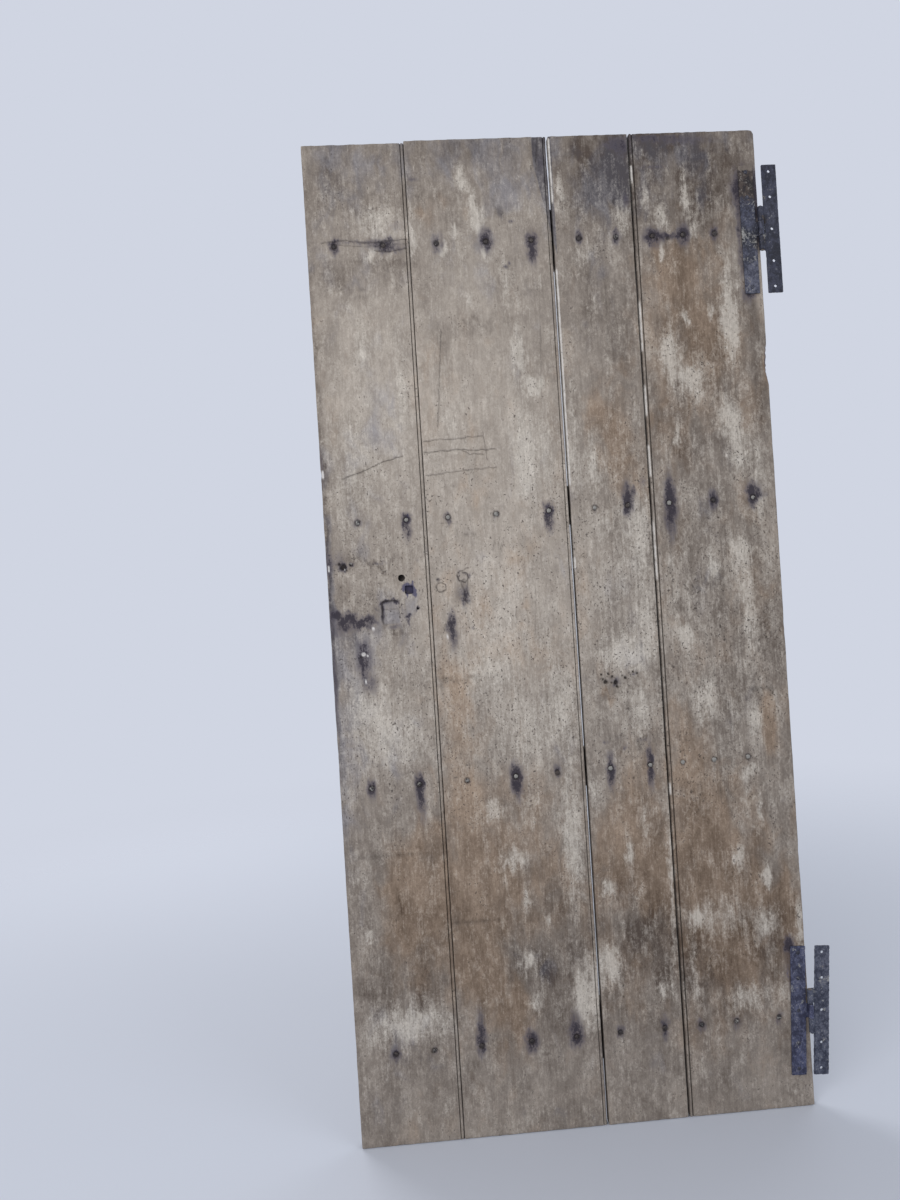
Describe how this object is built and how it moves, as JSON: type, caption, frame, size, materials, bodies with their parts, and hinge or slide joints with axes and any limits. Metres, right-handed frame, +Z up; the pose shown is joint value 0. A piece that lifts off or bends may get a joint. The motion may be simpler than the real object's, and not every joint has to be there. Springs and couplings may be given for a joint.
{
  "type": "ledged plank door",
  "caption": "Old ledged plank door with a straight top: upright beaded boards nailed to cross ledges, iron H hinges on the right edge, latch hole on the left.",
  "frame": {"origin": "middle hole of the upper hinge's frame leaf, at the leaf's back, which lies in the plane of the boards' face", "axes": "+X from the latch edge to the hinge edge, +Y from the face into the door, +Z up"},
  "size_m": [0.9634, 0.0595, 1.981],
  "materials": {
    "boards": "bare aged pine with limewash traces",
    "ledges": "bare aged pine",
    "nails": "forged, rusted",
    "hinge_leaves": "old dark paint and rust",
    "hinge_pins": "dark, worn"
  },
  "bodies": {
    "upper_frame_leaf": {"upper_frame_leaf": "hinge_leaves", "upper_hinge_pin": "hinge_pins"},
    "door": {"latch_side_board": "boards", "wide_board": "boards", "narrow_board": "boards", "hinge_side_board": "boards", "top_ledge": "ledges", "upper_middle_ledge": "ledges", "lower_middle_ledge": "ledges", "bottom_ledge": "ledges", "top_ledge_nails": "nails", "upper_middle_ledge_nails": "nails", "lower_middle_ledge_nails": "nails", "bottom_ledge_nails": "nails", "upper_door_leaf": "hinge_leaves", "lower_door_leaf": "hinge_leaves", "upper_hinge_nails": "nails", "lower_hinge_nails": "nails"},
    "lower_frame_leaf": {"lower_frame_leaf": "hinge_leaves", "lower_hinge_pin": "hinge_pins"}
  },
  "joints": [
    {"name": "door_swing", "type": "hinge", "parent": "upper_frame_leaf", "child": "door", "pos_m": [-0.024, -0.00605, 0], "axis": [0, 0, 1], "range_deg": [0, 175]},
    {"name": "lower_leaf_swing", "type": "hinge", "parent": "door", "child": "lower_frame_leaf", "pos_m": [-0.024, -0.00605, -1.5835], "axis": [0, 0, 1], "range_deg": [-175, 0]}
  ],
  "couplings": [
    {"joint": "lower_leaf_swing", "follows": "door_swing", "ratio": -1}
  ]
}
